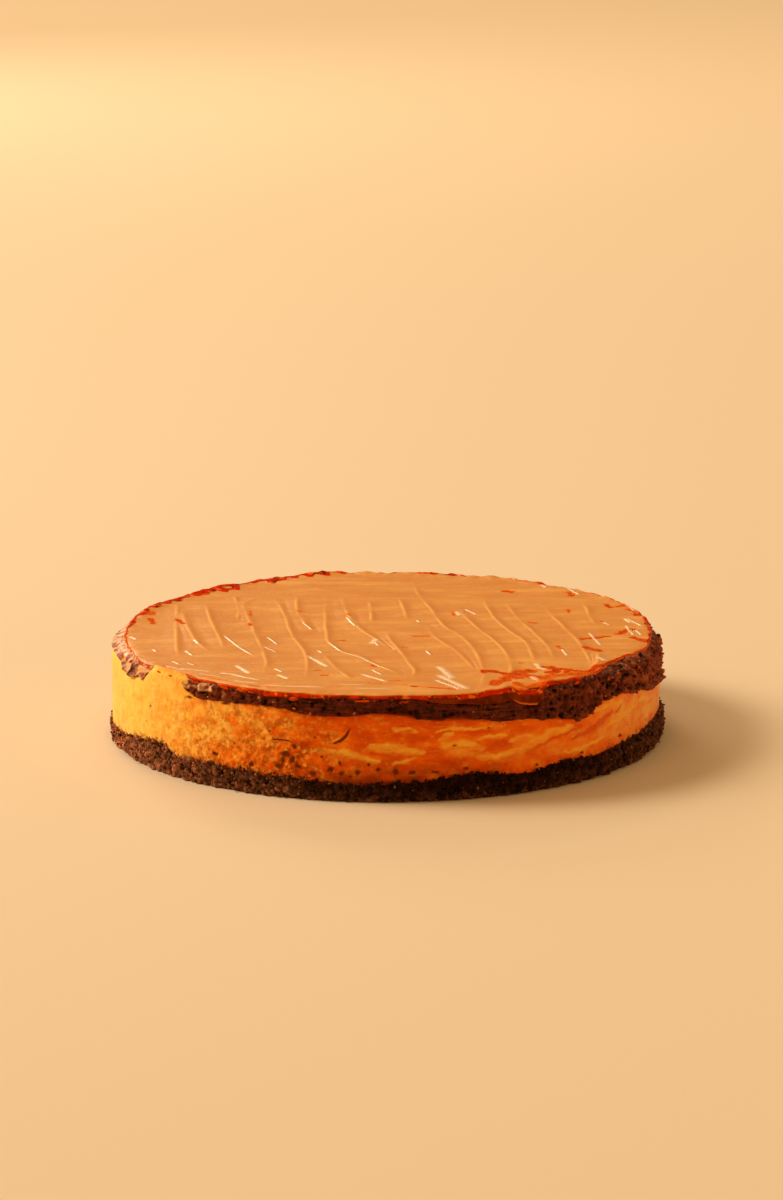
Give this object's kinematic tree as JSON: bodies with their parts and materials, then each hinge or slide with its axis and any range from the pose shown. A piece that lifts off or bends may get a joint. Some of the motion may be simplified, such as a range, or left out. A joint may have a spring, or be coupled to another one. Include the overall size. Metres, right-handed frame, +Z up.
{
  "type": "cheesecake",
  "caption": "Whole round layered cheesecake: dark crumb crust, baked curd filling, chocolate crumb layer and a glossy caramel topping spread in ridged strokes.",
  "frame": {"origin": "middle of the crust's flat underside, on the round tin's axis", "axes": "+Z up, towards the caramel; -Y towards the front of the cake, the side that the picture shows; +X to the right in the picture"},
  "size_m": [0.2425, 0.2411, 0.0462],
  "materials": {
    "base_crust": "crumbly pressed biscuit, matte, with grains that stand proud",
    "filling": "baked curd, smooth and slightly moist, yellow to orange, marbled and pitted",
    "chocolate_layer": "moist dark chocolate crumb, rough, with soft highlights",
    "caramel_topping": "thick milk caramel, glossy, spread in ridged strokes"
  },
  "bodies": {
    "root": {"base_crust": "base_crust", "filling": "filling", "chocolate_layer": "chocolate_layer", "caramel_topping": "caramel_topping"}
  },
  "joints": []
}
